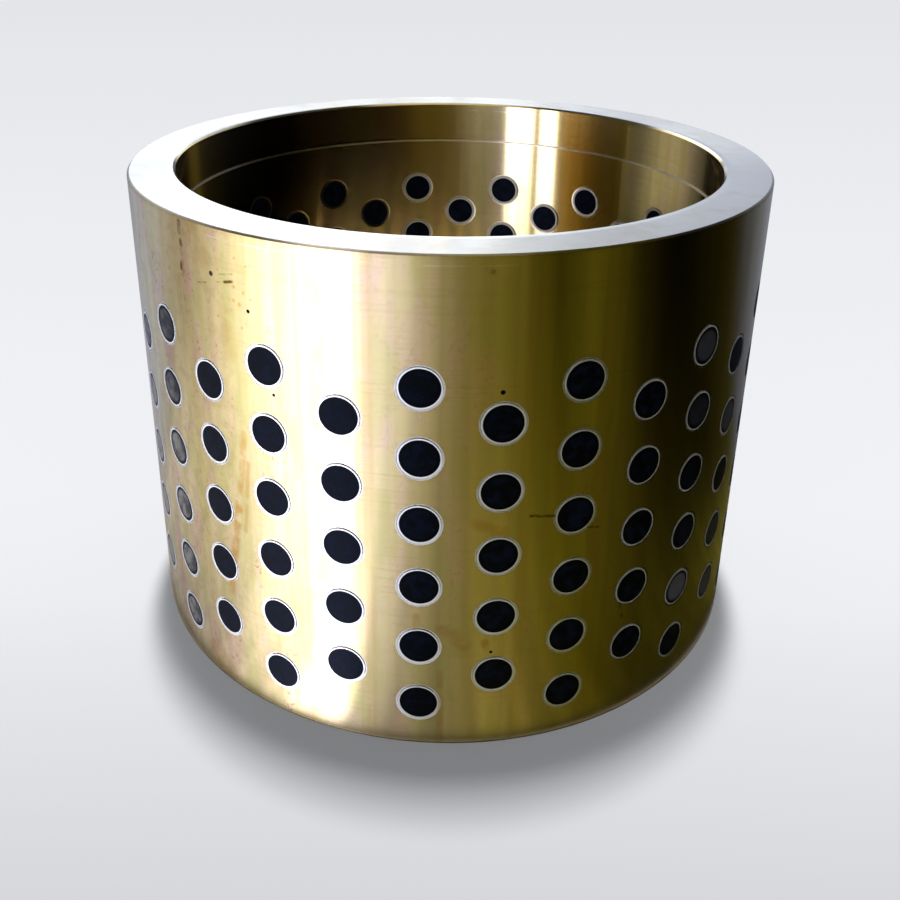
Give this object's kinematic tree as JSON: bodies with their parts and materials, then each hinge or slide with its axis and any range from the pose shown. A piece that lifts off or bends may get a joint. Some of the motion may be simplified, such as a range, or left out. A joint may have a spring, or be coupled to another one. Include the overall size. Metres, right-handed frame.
{
  "type": "graphite plugged bushing",
  "caption": "Plain bronze sleeve bushing with staggered columns of flush graphite plugs through its wall, and a bore opened out slightly at one end.",
  "frame": {"origin": "centre of the lower end face, on the sleeve's axis", "axes": "+Z along the sleeve's axis, from the lower end face to the end where the bore is opened out; -Y through the first column of plugs"},
  "size_m": [0.175, 0.175, 0.13],
  "materials": {
    "bronze": "turned and polished, golden high-strength bronze",
    "graphite": "turned graphite, near black with a dull sheen"
  },
  "bodies": {
    "root": {"sleeve": "bronze", "plug_column_01": "graphite", "plug_column_02": "graphite", "plug_column_03": "graphite", "plug_column_04": "graphite", "plug_column_05": "graphite", "plug_column_06": "graphite", "plug_column_07": "graphite", "plug_column_08": "graphite", "plug_column_09": "graphite", "plug_column_10": "graphite", "plug_column_11": "graphite", "plug_column_12": "graphite", "plug_column_13": "graphite", "plug_column_14": "graphite", "plug_column_15": "graphite", "plug_column_16": "graphite", "plug_column_17": "graphite", "plug_column_18": "graphite", "plug_column_19": "graphite", "plug_column_20": "graphite", "plug_column_21": "graphite", "plug_column_22": "graphite", "plug_column_23": "graphite", "plug_column_24": "graphite", "plug_column_25": "graphite", "plug_column_26": "graphite", "plug_column_27": "graphite", "plug_column_28": "graphite", "plug_column_29": "graphite", "plug_column_30": "graphite"}
  },
  "joints": []
}
